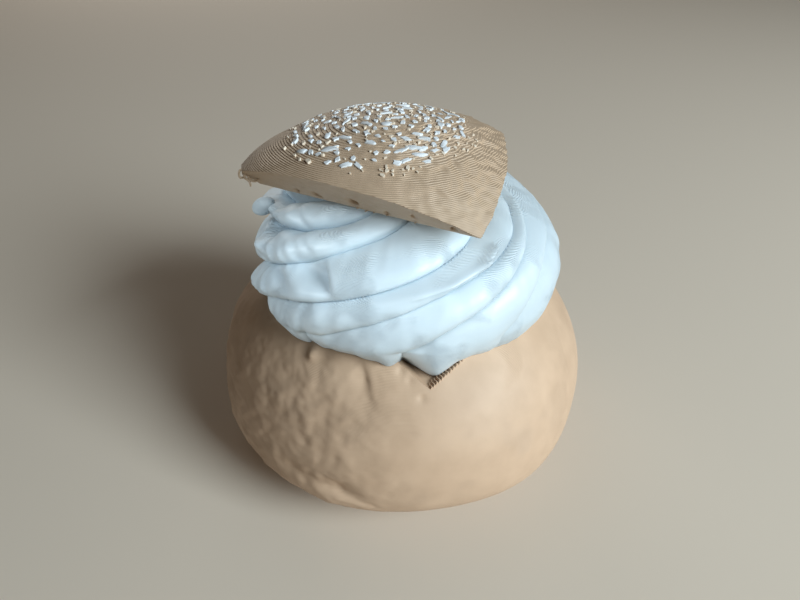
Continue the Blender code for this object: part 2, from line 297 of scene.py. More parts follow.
# %% Cutter for the hole
HOLE_MIDDLE = (0.125 * R, -0.005 * R)
HOLE_RADIUS = 0.77 * R
HOLE_CORNER = math.radians(-91)
HOLE_FLOOR = 0.872 * R
HOLE_LEAN = math.radians(45)
HOLE_HEIGHT = 0.4 * R
HOLE_SIDE_POINTS = 14
HOLE_WOBBLE = 0.00006
HOLE_WOBBLE_SIZE = 0.002
HOLE_WOBBLE_STEP = 0.9
RISER_SHARE = 0.9


def ring_corners(middle, radius, turns):
    return [(middle[0] + radius * math.cos(turn), middle[1] + radius * math.sin(turn)) for turn in turns]


def side_lines(corners, leans, height):
    """For each side of a three-cornered block: the way it faces, and how far out it stands at a height."""
    lines = []
    for k, lean in enumerate(leans):
        a = Vector(corners[k])
        b = Vector(corners[(k + 1) % 3])
        out = Vector((b.y - a.y, a.x - b.x)).normalized()
        lines.append((out, out.dot(a) + height * math.tan(lean)))
    return lines


def hole_ring(height, shrink, seed):
    """One layer of the cutter, three straight sides with a slight wobble."""
    radius = HOLE_RADIUS - 2 * shrink + 2 * height * math.tan(HOLE_LEAN)
    corners = ring_corners(HOLE_MIDDLE, radius, [HOLE_CORNER + math.radians(120 * k) for k in range(3)])
    ring = []
    for k in range(3):
        a, b = Vector(corners[k]), Vector(corners[(k + 1) % 3])
        out = Vector((b.y - a.y, a.x - b.x)).normalized()
        for j in range(HOLE_SIDE_POINTS):
            place = a.lerp(b, j / HOLE_SIDE_POINTS)
            spot = Vector((place.x / HOLE_WOBBLE_SIZE, place.y / HOLE_WOBBLE_SIZE, seed * HOLE_WOBBLE_STEP))
            wobble = HOLE_WOBBLE * noise.noise(spot)
            place += out * (wobble if j else 0)
            ring.append((place.x, place.y, HOLE_FLOOR + shrink + height))
    return ring


def hole_plug(name, stepped, shrink=0.0):
    if not stepped:
        rings = [hole_ring(0, shrink, 0), hole_ring(HOLE_HEIGHT, shrink, 0)]
    else:
        rings = []
        for k in range(round(HOLE_HEIGHT / LAYER)):
            ring = hole_ring(k * LAYER, shrink, k)
            for z in (k * LAYER, (k + RISER_SHARE) * LAYER):
                rings.append([(x, y, HOLE_FLOOR + shrink + z) for x, y, _ in ring])
    low = (*HOLE_MIDDLE, rings[0][0][2])
    high = (*HOLE_MIDDLE, rings[-1][0][2])
    return skin(name, rings, low, high)


# %% Cut the bun
bun = bun_body("bun_form", BUN_COLUMNS, BUN_ROWS)
cut(bun, hole_plug("plug", True))
smooth(bun, 40)
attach(bun, "root")
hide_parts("bun")
print("bun:", len(bun.data.polygons), "faces")

# %% [markdown]
# ## The cream
# Piped cream leaves ridges that lean over and wind up round the mound. Here every column of the mesh runs
# along a ridge, from its foot to its top, so that the creases between ridges are true lines in the mesh and
# stay sharp however coarse or fine it is. Each crease says where it starts, how fast it winds and how deep
# it is.

# %% Winding creases
CREAM_MIDDLE = (0.008 * R, 0)
CREAM_RADIUS = 0.782 * R
CREAM_WIDEST = 1.15 * R
CREAM_UPPER = 0.40 * R
CREAM_LOWER = 0.45 * R
CREAM_POWER = 2.3
CREAM_LOWEST = -50
CREAM_ROWS = 180
RIDGE_COLUMNS = 50

# Each crease: azimuth at the widest level, turn per degree of level, the level below which it stands upright,
# depth, and the further turn that it makes on the upper slope
CREASES = (
    (-50, 0.84, -8, 0.0010, 42),
    (-81, 1.29, -8, 0.0015, 0),
    (-111, 1.38, -12, 0.0012, 15),
    (-141, 1.69, -16, 0.0018, 0),
    (-166, 1.17, -12, 0.0022, 0),
    (-228, 1.94, -8, 0.0026, 0),
    (-258, 1.82, -8, 0.0024, 0),
    (-290, 1.50, -8, 0.0024, 0),
    (-330, 1.40, -8, 0.0014, 0),
    (-370, 1.50, -8, 0.0010, 10),
)
CREASE_SLOPE = (20, 45)
CREASE_TOP = 45
CREASE_TOP_TURN = 1.5
RIDGE_SKEW = 0.65
RIDGE_FULLNESS = 0.7
RIDGE_MIDDLE = 0.6
RIDGE_FADE = (50, 80)
DEEP_SIDE = (-172, 34, 0.9)


def crease_azimuth(crease, level):
    """Where a crease stands at a level in degrees: upright at the foot, then winding up round the mound."""
    start, turn, foot, _, further = crease
    low = start + turn * min(max(level, foot), CREASE_TOP)
    return low + further * soft_step(*CREASE_SLOPE, level) + CREASE_TOP_TURN * max(0, level - CREASE_TOP)


def on_ridge(ridge, share, level):
    """The azimuth at a share of the way from one crease to the next, and the ridge's height there."""
    crease = CREASES[ridge]
    beyond = CREASES[(ridge + 1) % len(CREASES)]
    high = crease_azimuth(crease, level)
    low = crease_azimuth(beyond, level)
    if low > high:
        low -= 360
    bulge = math.sin(math.pi * share ** RIDGE_SKEW) ** RIDGE_FULLNESS
    depth = crease[3] + (beyond[3] - crease[3]) * share
    return high + (low - high) * share, depth * (bulge - RIDGE_MIDDLE)


# %% Dents, folds and the pocket
# Each dent: azimuth, level, spread of each in degrees, and depth, less than 0 for a swell
CREAM_DENTS = (
    (-168, 42, 13, 6, 0.050 * R),
    (-168, 30, 15, 5, 0.055 * R),
    (-164, 20, 12, 4, 0.035 * R),
    (-178, 10, 30, 16, 0.085 * R),
    (15, 25, 40, 30, 0.052 * R),
    (-152, -20, 16, 12, 0.04 * R),
    (-108, -24, 17, 14, 0.05 * R),
    (-67, -30, 7, 14, 0.035 * R),
    (-158, 33, 12, 4, 0.030 * R),
)
CREAM_MARKS = (
    (-155, 22, 4, 3, -0.0012),
    (-138.6, 17, 4, 3, 0.0010),
    (-128, 25, 8, 4.5, 0.0009),
    (-134, 15.5, 5, 3.5, 0.0007),
    (-79, -30, 4, 16, -0.0012),
    (-90, -30, 4, 14, 0.0012),
    (-96, -30, 3, 14, -0.0005),
)

# Short lips and creases: azimuth and level of both ends, width in degrees, and height,
# less than 0 for a crease
CREAM_FOLDS = (
    ((-56.0, 38.3), (-62, 34.0), 3.0, 0.0014),
    ((-62, 34.0), (-75, 28.0), 3, 0.0009),
    ((-75, 28.0), (-86, 24), 3, 0.0004),
    ((-146.5, 28), (-142.3, 21), 2.4, 0.0004),
    ((-140.4, 31), (-137, 24), 2.4, 0.0004),
    ((-136.1, 33.5), (-132, 26), 2.4, 0.0003),
    ((-142.5, 43), (-135, 37), 2.6, -0.0003),
    ((-136.5, 42.5), (-129, 38), 2.6, -0.0003),
    ((-155, 53), (-140.4, 46.4), 3.0, -0.0006),
    ((-166, 37), (-158, 27), 3.0, -0.0006),
    ((-158, 38), (-150, 27), 2.6, -0.0005),
    ((-160, 16), (-153, 8), 3.0, -0.0006),
    ((-150, 15), (-143, 5), 2.6, 0.0005),
    ((-134, -13), (-131.5, 6), 3.0, -0.0006),
    ((-127, -12), (-123.5, 8.5), 2.6, -0.0006),
)
POCKET = (-138, -119, -116)
POCKET_LEAN = 0.52
POCKET_LEVEL = 28
POCKET_HEIGHT = 5.5
POCKET_DEPTH = 0.065 * R

# Waves and wrinkles: how many go round, the degrees of level of each, and their depth
WAVES = (7, 22, 0.00025)
WRINKLES = (16, 30, 0.00035)
WRINKLE_SHARES = (0.5, 0.6)


def cream_relief(azimuth, level, ridge_rise):
    """All of the cream's relief: ridges, deeper on the left, and the hollows between their ends."""
    middle, spread, more = DEEP_SIDE
    deep = swell(around(azimuth, middle), 0, spread)
    relief = ridge_rise * (1 + more * deep)
    relief *= 1 - soft_step(*RIDGE_FADE, level)
    for middle, height, spread, rise, depth in CREAM_DENTS + CREAM_MARKS:
        relief -= depth * swell(around(azimuth, middle), 0, spread) * swell(level, height, rise)
    side = around(azimuth, 0)
    for start, end, width, up in CREAM_FOLDS:
        relief += up * lip((side, level), start, end, width)
    side += POCKET_LEAN * (level - POCKET_LEVEL)
    pocket = soft_step(POCKET[0], POCKET[1], side) * (1 - soft_step(POCKET[1], POCKET[2], side))
    relief -= POCKET_DEPTH * pocket * swell(level, POCKET_LEVEL, POCKET_HEIGHT)
    turn = math.radians(azimuth)
    wave, fold = [noise.noise(Vector((count * math.cos(turn), count * math.sin(turn), level / rise)))
                  for count, rise, _ in (WAVES, WRINKLES)]
    return relief + WAVES[2] * wave + WRINKLES[2] * (WRINKLE_SHARES[0] + WRINKLE_SHARES[1] * deep) * fold


def cream_point(column, level):
    """A point of the cream's skin, at a column counted in ridges and a level in degrees."""
    ridge = int(column) % len(CREASES)
    azimuth, ridge_rise = on_ridge(ridge, column % 1, level)
    angle = math.radians(level)
    across, up = half_superellipse(abs(angle), CREAM_POWER)
    rise = CREAM_UPPER if level >= 0 else -CREAM_LOWER
    relief = cream_relief(azimuth, level, ridge_rise)
    radius = CREAM_RADIUS * across + relief * math.cos(angle)
    height = CREAM_WIDEST + rise * up + relief * math.sin(angle)
    turn = math.radians(azimuth)
    x = CREAM_MIDDLE[0] + radius * math.cos(turn)
    y = CREAM_MIDDLE[1] + radius * math.sin(turn)
    return Vector((x, y, height))


# %% [markdown]
# ## Where the lid lies
# The lid rests on the cream and flattens its top, so its place is needed before the cream is meshed. Any
# point of the cream that would come above the lid's underside is pressed down to it.

# %% Place of the lid
LID_PLACE = (-0.048 * R, -0.050 * R, 1.555 * R)
LID_TILT = (math.radians(-2), math.radians(0.6))
LID_GAP = 0.0003
lid_matrix = Matrix.Translation(LID_PLACE) @ Euler((*LID_TILT, 0)).to_matrix().to_4x4()


def under_lid(point):
    """Presses a point of the cream down to the lid's underside."""
    up = lid_matrix.to_3x3() @ Vector((0, 0, 1))
    room = (point - lid_matrix.translation).dot(up)
    if room > -LID_GAP:
        point = point - up * (room + LID_GAP)
    return point


# %% Mesh of the cream
KNOB_PLACE = (-0.664 * R, -0.072 * R, 1.390 * R)
KNOB_SIZE = (0.0025, 0.0019, 0.0018)
KNOB_LEAN = math.radians(-25)
CREAM_HIGHEST = 89.5
CLEARANCE_MESH = (200, 80)


def cream_body(name):
    columns = RIDGE_COLUMNS * len(CREASES)
    rings = []
    for k in range(CREAM_ROWS):
        level = CREAM_LOWEST + (CREAM_HIGHEST - CREAM_LOWEST) * k / (CREAM_ROWS - 1)
        ring = [under_lid(cream_point(-j / RIDGE_COLUMNS % len(CREASES), level)) for j in range(columns)]
        rings.append(ring)
    low = (*CREAM_MIDDLE, rings[0][0].z)
    high = under_lid(Vector((*CREAM_MIDDLE, CREAM_WIDEST + CREAM_UPPER)))
    return skin(name, rings, low, high)


def add_knob(thing):
    """The small ball in which the top ridge ends on the left."""
    bpy.ops.mesh.primitive_uv_sphere_add(segments=40, ring_count=24, radius=1, location=KNOB_PLACE)
    knob = bpy.context.object
    knob.scale = KNOB_SIZE
    knob.rotation_euler = (0, KNOB_LEAN, 0)
    cut(thing, knob, "UNION")


cream = cream_body("cream_form")
add_knob(cream)
clearance = bun_body("clearance", *CLEARANCE_MESH, grow=GAP)
cut(clearance, hole_plug("clearance_plug", False, GAP))
cut(cream, clearance)
smooth(cream, 60)
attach(cream, "root")
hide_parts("cream")
print("cream:", len(cream.data.polygons), "faces")

# %% [markdown]
# ## The lid
# Here the printer's layers show best: on the shallow dome each layer ends in a wide, wavy terrace. Noise in
# a material could only pretend that, so the dome is really sliced. For every layer the outline is worked
# out all the way round, as the nearer of two limits, the dome and the three leaning cuts, and the outlines
# are stacked.

# %% Shape of the lid
LID_SPHERE = 1.10 * R
LID_CORNER_ANGLE = math.radians(40.5)
LID_CORNERS = (math.radians(194), math.radians(298.5), math.radians(60))
LID_REACH = (0.845, 1.0, 1.0)
LID_LEANS = (math.radians(40), math.radians(46), math.radians(46))
LID_LUMP_SIZE = 0.2 * R
LID_LUMP_DEPTH = 0.00025
LID_SWELLS = (
    ((-0.58 * R, -0.12 * R), 0.24 * R, 0.0014),
    ((0.50 * R, 0.05 * R), 0.15 * R, 0.0005),
)
LID_DROP = LID_SPHERE * math.cos(LID_CORNER_ANGLE)
LID_COLUMNS = 540
RIPPLE_SIZES = (0.0016, 0.0034)
RIPPLE_DEPTHS = (0.00002, 0.00030)
RIPPLE_SIDE = (-0.35 * R, 0.35 * R)
RIPPLE_TOP = (0.55, 0.95)


def lid_relief(point):
    """How far the dome stands out from a true sphere."""
    rise = LID_LUMP_DEPTH * noise.noise(point / LID_LUMP_SIZE)
    for place, spread, height in LID_SWELLS:
        rise += height * swell((point.xy - Vector(place)).length, 0, spread)
    return rise


def lid_ripple(point):
    """The finer waves that make the terraces wander, strongest on the right."""
    right = soft_step(*RIPPLE_SIDE, point.x + 0.3 * point.y)
    near_top = soft_step(*RIPPLE_TOP, point.z / LID_SPHERE)
    ripple = noise.noise(point / RIPPLE_SIZES[0]) + 0.7 * noise.noise(point / RIPPLE_SIZES[1])
    return (RIPPLE_DEPTHS[0] + RIPPLE_DEPTHS[1] * right * near_top) * ripple


def lid_corners():
    radius = LID_SPHERE * math.sin(LID_CORNER_ANGLE)
    return [ring_corners((0, 0), radius * reach, [turn])[0] for reach, turn in zip(LID_REACH, LID_CORNERS)]


def dome_radius(turn, height):
    """How far out the dome reaches at a height above the lid's underside."""
    level = height + LID_DROP
    flat = math.sqrt(max(1e-8, LID_SPHERE ** 2 - level ** 2))
    point = Vector((flat * math.cos(turn), flat * math.sin(turn), level))
    grown = LID_SPHERE + lid_relief(point) + lid_ripple(point)
    return math.sqrt(max(1e-8, grown ** 2 - level ** 2))


# Pits in the front cut: share of the way along it, height, spread and depth
PITS = (
    (0.20, 0.0012, 0.0005, 0.0009),
    (0.29, 0.0014, 0.0006, 0.0010),
    (0.31, 0.0009, 0.0004, 0.0006),
    (0.47, 0.0019, 0.0007, 0.0013),
    (0.49, 0.0017, 0.0004, 0.0008),
    (0.62, 0.0009, 0.0005, 0.0006),
    (0.74, 0.0019, 0.0005, 0.0006),
    (0.90, 0.0010, 0.0005, 0.0007),
)
CUT_ROUGHNESS = ((0.00008, 0.0012), (0.00006, 0.0004))
FACING_LEAST = 0.05


def cut_radius(turn, height):
    """How far out the nearest leaning cut lies."""
    corners = lid_corners()
    nearest = 1.0
    for k, (out, reach) in enumerate(side_lines(corners, LID_LEANS, height)):
        facing = out.x * math.cos(turn) + out.y * math.sin(turn)
        if facing <= FACING_LEAST:
            continue
        place = Vector((math.cos(turn), math.sin(turn), 0)) * reach / facing
        place.z = height
        rough = sum(depth * noise.noise(place / size) for depth, size in CUT_ROUGHNESS)
        if k == 0:
            a, b = Vector(corners[0]), Vector(corners[1])
            along = (place.xy - a).dot(b - a) / (b - a).length_squared
            for share, level, spread, depth in PITS:
                away = math.hypot((along - share) * (b - a).length, height - level)
                rough -= depth * swell(away, 0, spread)
        nearest = min(nearest, (reach + rough) / facing)
    return nearest


# %% Slice the lid
STEP_SHARE = 0.85
STEP_PARTS = (0.08, 0.92)
FAINT_FRONT = (0.4, 0.9)
FAINT_LOW = (0.2, 0.6)
FAINT_SHARE = 0.6
BLUNT_TIP = 0.985
TIP_LAYERS = 40
TIP_ANGLE = 0.4
TOP_SPARE = 0.0001
APEX_RISE = 0.2


def sharp_tip():
    """How far out the left tip would reach if it were sharp, and at what height."""
    turn = LID_CORNERS[0]
    heights = [k * LAYER for k in range(TIP_LAYERS)]
    return max((min(dome_radius(turn, height), cut_radius(turn, height)), height) for height in heights)


def lid_body(name):
    top = LID_SPHERE - LID_DROP
    rings = []
    tip = BLUNT_TIP * sharp_tip()[0]
    layers = int(top / LAYER)
    for k in range(layers):
        middle = min((k + 0.5) * LAYER, top - TOP_SPARE)
        for part in STEP_PARTS:
            height = (k + part) * LAYER if k or part > 0.5 else 0
            ring = []
            for j in range(LID_COLUMNS):
                turn = 2 * math.pi * j / LID_COLUMNS
                faint = soft_step(*FAINT_FRONT, -math.sin(turn)) * (1 - soft_step(*FAINT_LOW, height / top))
                dome_height = middle + (1 - STEP_SHARE * (1 - FAINT_SHARE * faint)) * (height - middle)
                radius = min(dome_radius(turn, dome_height), cut_radius(turn, height))
                if abs(turn - LID_CORNERS[0]) < TIP_ANGLE:
                    radius = min(radius, tip)
                ring.append(lid_matrix @ Vector((radius * math.cos(turn), radius * math.sin(turn), height)))
            rings.append(ring)
    high = lid_matrix @ Vector((0, 0, (layers + APEX_RISE) * LAYER))
    return skin(name, rings, lid_matrix.translation.copy(), high)


lid = lid_body("lid_form")
smooth(lid, 30)
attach(lid, "root")
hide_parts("lid")
print("lid:", len(lid.data.polygons), "faces")

# %% [markdown]
# ## Flecks on the lid
# The white flecks stand for pearl sugar. The printer laid them in a second colour as small flat patches
# along its layers, thickest round the top. They are one piece, because they are one kind, and each patch is
# a low pad with an uneven outline.

# %% Places of the flecks
FLECK_COUNT = 150
FLECK_TRIES = 60
FLECK_SPREAD = 0.38 * R
FLECK_CROWDING = 0.62
FLECK_MIDDLE = (-0.05 * R, -0.03 * R)
FLECK_MARGIN = 0.0018
FLECK_LENGTH = (0.0009, 0.0034)
FLECK_WIDTH = (0.0007, 0.0013)
FLECK_RISE = 0.00025
FLECK_SINK = 0.0006
FLECK_SPACE = 0.0017
FLECK_TURN = 0.7
FLECK_SEED = 7


def lid_dome(place):
    """Lifts a place in the lid's own plane onto its dome, and gives the way that the dome faces there."""
    point = Vector((place.x, place.y, math.sqrt(LID_SPHERE ** 2 - place.length_squared)))
    normal = point.normalized()
    return point + normal * lid_relief(point) - Vector((0, 0, LID_DROP)), normal


def on_lid(place):
    """Whether a fleck there lies clear of the lid's edges."""
    lines = side_lines(lid_corners(), LID_LEANS, lid_dome(place)[0].z)
    return all(out.dot(place) < reach - FLECK_MARGIN for out, reach in lines)


def fleck_places(draw):
    """Scattered places that keep their distance, closest together round the apex."""
    places = []
    tries = 0
    while len(places) < FLECK_COUNT and tries < FLECK_TRIES * FLECK_COUNT:
        tries += 1
        reach = FLECK_SPREAD * draw.random() ** FLECK_CROWDING
        turn = draw.uniform(0, 2 * math.pi)
        place = Vector((FLECK_MIDDLE[0] + reach * math.cos(turn), FLECK_MIDDLE[1] + reach * math.sin(turn)))
        if on_lid(place) and all((place - other).length > FLECK_SPACE for other in places):
            places.append(place)
    return places


# %% Shape of a patch
PATCH_UNEVEN = (0.55, 1.2)
PATCH_SHEAR = 0.4
PATCH_CORNERS = 0.7
PATCH_SHOULDER = 0.6
PATCH_CROWN = 0.88


def rounded(value):
    """Draws a sine or cosine towards the corners of a patch."""
    return math.copysign(abs(value) ** PATCH_CORNERS, value)


def add_patch(shape, place, ring, length, width, rise, sink, draw, points=11):
    """A low pad with an uneven outline, its length across the slope."""
    middle, normal = lid_dome(place)
    side = normal.to_track_quat("Z", "Y").to_matrix()
    spin = Matrix.Rotation(ring - side.to_euler().z, 3, "Z")
    uneven = [draw.uniform(*PATCH_UNEVEN) for _ in range(points)]
    shear = draw.uniform(-PATCH_SHEAR, PATCH_SHEAR)
    loops = []
    for height, size in ((-sink, 1.0), (PATCH_SHOULDER * rise, 1.0), (rise, PATCH_CROWN)):
        loop = []
        for k in range(points):
            turn = 2 * math.pi * k / points
            x = 0.5 * length * rounded(math.cos(turn)) * uneven[k] * size
            y = 0.5 * width * rounded(math.sin(turn)) * uneven[k] * size
            x += shear * y
            loop.append(shape.verts.new(lid_matrix @ (middle + side @ (spin @ Vector((x, y, height))))))
        loops.append(loop)
    for low, high in zip(loops, loops[1:]):
        for k in range(points):
            n = (k + 1) % points
            shape.faces.new((low[k], low[n], high[n], high[k]))
    shape.faces.new(loops[-1])
    shape.faces.new(list(reversed(loops[0])))


def finish_patches(name, shape):
    bmesh.ops.recalc_face_normals(shape, faces=shape.faces)
    mesh = bpy.data.meshes.new(name)
    shape.to_mesh(mesh)
    shape.free()
    thing = bpy.data.objects.new(name, mesh)
    bpy.context.scene.collection.objects.link(thing)
    smooth(thing, 50)
    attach(thing, "root")
    return thing


# %% Lay the flecks
draw = random.Random(FLECK_SEED)
shape = bmesh.new()
flecks_at = fleck_places(draw)
for place in flecks_at:
    ring = math.atan2(place.y, place.x) + math.pi / 2 + draw.uniform(-FLECK_TURN, FLECK_TURN)
    length = FLECK_LENGTH[0] + (FLECK_LENGTH[1] - FLECK_LENGTH[0]) * draw.random() ** 3
    width = draw.uniform(*FLECK_WIDTH)
    add_patch(shape, place, ring, length, width, FLECK_RISE, FLECK_SINK, random.Random(length))
flecks = finish_patches("flecks", shape)
print("flecks:", len(flecks_at), "patches,", len(flecks.data.polygons), "faces")

# %% [markdown]
# ## Crumbs between the flecks
# Where the printer changed colour it left small tan crumbs between the white patches. Their colour is
# painted paler than the lid's, a painted highlight for the light that they catch. They are made as the
# flecks are, only smaller and rounder.

# %% Lay the crumbs
CRUMB_COUNT = 200
CRUMB_SPREAD = 0.42 * R
CRUMB_CROWDING = 0.6
CRUMB_SPACE = 0.0009
CRUMB_SIZE = (0.0003, 0.0004)
CRUMB_STRETCH = 1.5
CRUMB_RISE = 0.00025
CRUMB_SINK = 0.0003
CRUMB_SEED = 21
NUBS = (((-0.332 * R, -0.316 * R), 0.0011), ((-0.277 * R, -0.297 * R), 0.0007))
NUB_RISE = 0.0004
draw = random.Random(CRUMB_SEED)
shape = bmesh.new()
laid = 0
while laid < CRUMB_COUNT:
    reach = CRUMB_SPREAD * draw.random() ** CRUMB_CROWDING
    turn = draw.uniform(0, 2 * math.pi)
    place = Vector((FLECK_MIDDLE[0] + reach * math.cos(turn), FLECK_MIDDLE[1] + reach * math.sin(turn)))
    if not on_lid(place) or any((place - other).length < CRUMB_SPACE for other in flecks_at):
        continue
    size = CRUMB_SIZE[0] + CRUMB_SIZE[1] * draw.random() ** 2
    ring = draw.uniform(0, 6)
    add_patch(shape, place, ring, size * CRUMB_STRETCH, size, CRUMB_RISE, CRUMB_SINK, draw, points=7)
    laid += 1
# Two larger nubs, in the same pale colour as the crumbs: a painted highlight
for place, size in NUBS:
    add_patch(shape, Vector(place), 0, size, size, NUB_RISE, CRUMB_SINK, draw, points=10)
crumbs = finish_patches("crumbs", shape)
print("crumbs:", laid, "with", len(crumbs.data.polygons), "faces")

# %% [markdown]
# ## The comb at the hole's front corner
# Where the hole's right wall comes out through the bun's side, the printer left the ends of its layers
# standing like the teeth of a comb. Each tooth is a thin bar that starts on the rim and runs inward over
# the wall, higher than the one on its left and curved a little, with one steep side that stays dark.

# %% Teeth of the comb
COMB_TEETH = 22
COMB_HEIGHTS = (0.874 * R, 1.0 * R)
COMB_LENGTH = 0.0020
COMB_UNEVEN = (0.7, 1.1)
COMB_SEED = 3
COMB_INWARD = Vector((-0.22, 0.975, 0))
COMB_STATIONS = 6
COMB_OVERHANG = 0.12
COMB_CURVE = 0.00016
COMB_DROOP = 0.0001

# A tooth's outline: along the rim, and above it
TOOTH = ((0.00002, -0.0016), (0.00004, -0.00010), (0.00016, 0.00022), (0.00034, 0.00018), (0.00046, -0.0016))


def rim_point(height):
    """Where the hole's right wall meets the bun's skin at a height."""
    corners = ring_corners(HOLE_MIDDLE, HOLE_RADIUS, [HOLE_CORNER + math.radians(120 * k) for k in range(3)])
    out, reach = side_lines(corners, [HOLE_LEAN] * 3, height - HOLE_FLOOR)[0]
    level = math.asin(min(1, ((height - BUN_WIDEST) / (BUN_TOP - BUN_WIDEST)) ** (BUN_POWER / 2)))
    radius = R * half_superellipse(level, BUN_POWER)[0]
    spare = math.sqrt(max(0, radius ** 2 - reach ** 2))
    place = out * reach - Vector((-out.y, out.x)) * spare
    return Vector((*place, height))


shape = bmesh.new()
draw = random.Random(COMB_SEED)
for k in range(COMB_TEETH):
    start, beyond = [rim_point(COMB_HEIGHTS[0] + (COMB_HEIGHTS[1] - COMB_HEIGHTS[0]) * n / COMB_TEETH)
                     for n in (k, k + 1)]
    along = (beyond - start).normalized()
    reach = COMB_LENGTH * draw.uniform(*COMB_UNEVEN)
    loops = []
    for j in range(COMB_STATIONS):
        share = j / (COMB_STATIONS - 1)
        middle = start + COMB_INWARD * (reach * (share - COMB_OVERHANG))
        middle += along * COMB_CURVE * math.sin(2 * math.pi * share)
        rise = -COMB_DROOP * share ** 2
        loops.append([shape.verts.new(middle + along * x + Vector((0, 0, z + rise))) for x, z in TOOTH])
    for low_loop, high_loop in zip(loops, loops[1:]):
        for j in range(len(TOOTH)):
            n = (j + 1) % len(TOOTH)
            shape.faces.new((low_loop[j], low_loop[n], high_loop[n], high_loop[j]))
    shape.faces.new(loops[0])
    shape.faces.new(list(reversed(loops[-1])))
comb = finish_patches("rim_comb", shape)
print("comb: from", [round(1000 * v, 1) for v in rim_point(COMB_HEIGHTS[0])],
      "to", [round(1000 * v, 1) for v in rim_point(COMB_HEIGHTS[1])])

# %% [markdown]
# ## Strings of plastic
# A printer draws thin strings where its nozzle leaves an edge. Two loops and a drip hang at the lid's left
# tip, crumbs of string cling under its front cut, and one hair stands out of the cut. Each is a tube along
# a smooth line.


# %% Strings
def add_strand(shape, points, radius, sides=6, steps=5):
    """A tube through points, rounded between them."""
    line = []
    padded = [points[0]] + points + [points[-1]]
    for k in range(len(points) - 1):
        a, b, c, d = padded[k:k + 4]
        for j in range(steps):
            t = j / steps
            line.append(0.5 * (2 * b + (c - a) * t + (2 * a - 5 * b + 4 * c - d) * t ** 2
                               + (3 * b - 3 * c + d - a) * t ** 3))
    line.append(points[-1])
    loops = []
    for k, place in enumerate(line):
        ahead = (line[min(k + 1, len(line) - 1)] - line[max(k - 1, 0)]).normalized()
        side = ahead.orthogonal().normalized()
        other = ahead.cross(side)
        loop = []
        for j in range(sides):
            turn = 2 * math.pi * j / sides
            loop.append(shape.verts.new(place + radius * (math.cos(turn) * side + math.sin(turn) * other)))
        loops.append(loop)
    for first, second in zip(loops, loops[1:]):
        shift = min(range(sides), key=lambda s: (first[0].co - second[s].co).length)
        for j in range(sides):
            n = (j + 1) % sides
            shape.faces.new((first[j], first[n], second[(n + shift) % sides], second[(j + shift) % sides]))
    shape.faces.new(list(reversed(loops[0])))
    shape.faces.new(loops[-1])


def on_cut(share, height, out=0.0):
    """A place on the front cut, at a share of the way along it and a height above the underside."""
    a, b = [Vector(c) for c in lid_corners()[:2]]
    facing, reach = side_lines(lid_corners(), LID_LEANS, height)[0]
    place = a.lerp(b, share)
    place += facing * (reach + out - facing.dot(place))
    return lid_matrix @ Vector((*place, height))


tip_far, tip_height = sharp_tip()
tip_corner = Vector((math.cos(LID_CORNERS[0]), math.sin(LID_CORNERS[0]))) * BLUNT_TIP * tip_far
MM = 0.001
STRING_RADIUS = 0.00022
BITS_COUNT = 14
BITS_SEED = 11
BITS_ALONG = (0.45, 0.97)
BITS_PLACE = (0.0002, -0.0001)
BITS_SWAY = 0.0004
BITS_RADIUS = 0.00012
HAIR_PLACE = (0.515, 0.0030, -0.0002)
HAIR_BENDS = (Vector((0, 0, 0)), Vector((0.0004, -0.0008, 0.0009)), Vector((0.0006, -0.0011, 0.0021)))
HAIR_RADIUS = 0.00005

# Three strings at the left tip, each a line of points in millimetres from the tip
TIP_STRINGS = (
    (
        (0.6, 0.2, 0.3),
        (-0.2, 0.0, 0.3),
        (-0.5, -0.2, -0.4),
        (-0.3, -0.4, -1.0),
        (0.4, -0.4, -0.9),
        (0.8, -0.2, -0.3),
    ),
    ((0.5, -0.4, -0.2), (0.6, -0.7, -0.9), (1.1, -0.9, -1.2), (1.5, -1.0, -1.7), (1.6, -1.1, -2.4)),
    ((1.2, -0.8, -0.6), (1.8, -1.0, -1.3), (2.6, -1.1, -1.4), (3.3, -1.2, -1.0)),
)
shape = bmesh.new()
for string in TIP_STRINGS:
    places = [lid_matrix @ Vector((tip_corner.x + x * MM, tip_corner.y + y * MM, tip_height + z * MM))
              for x, y, z in string]
    add_strand(shape, places, STRING_RADIUS)
draw = random.Random(BITS_SEED)
for _ in range(BITS_COUNT):
    line = [on_cut(draw.uniform(*BITS_ALONG), *BITS_PLACE)]
    for _ in range(3):
        bend = Vector((draw.uniform(-1, 1), draw.uniform(-0.5, 0.4), draw.uniform(-0.25, 0.3)))
        line.append(line[-1] + bend * BITS_SWAY)
    add_strand(shape, line, BITS_RADIUS)
hair = on_cut(*HAIR_PLACE)
add_strand(shape, [hair + bend for bend in HAIR_BENDS], HAIR_RADIUS)
strings = finish_patches("strings", shape)
print("strings:", len(strings.data.polygons), "faces")

# %% [markdown]
# ## Printed plastic
# The material has two things to say. First the layers: a fine wave along the height that bends the light
# in a Bump node, and that also darkens the colour in its troughs, a painted shade in the grooves between
# layers. It is worked out from the height above the table, which is how the object was built, so the lines
# widen by themselves where the surface lies flat. They show in patches on the bun and the cream, as if
# rubbed away between. Second the tone: plastic is a little uneven in colour and in gloss.


# %% Node helpers
def add_node(tree, kind, **values):
    node = tree.nodes.new(kind)
    for name, value in values.items():
        setattr(node, name, value)
    return node


def maths(tree, operation, first, second=None):
    """One Math node; a number goes into the socket, and a socket is linked."""
    node = add_node(tree, "ShaderNodeMath", operation=operation)
    for k, value in enumerate((first, second)):
        if isinstance(value, (int, float)):
            node.inputs[k].default_value = value
        elif value is not None:
            tree.links.new(value, node.inputs[k])
    return node.outputs[0]


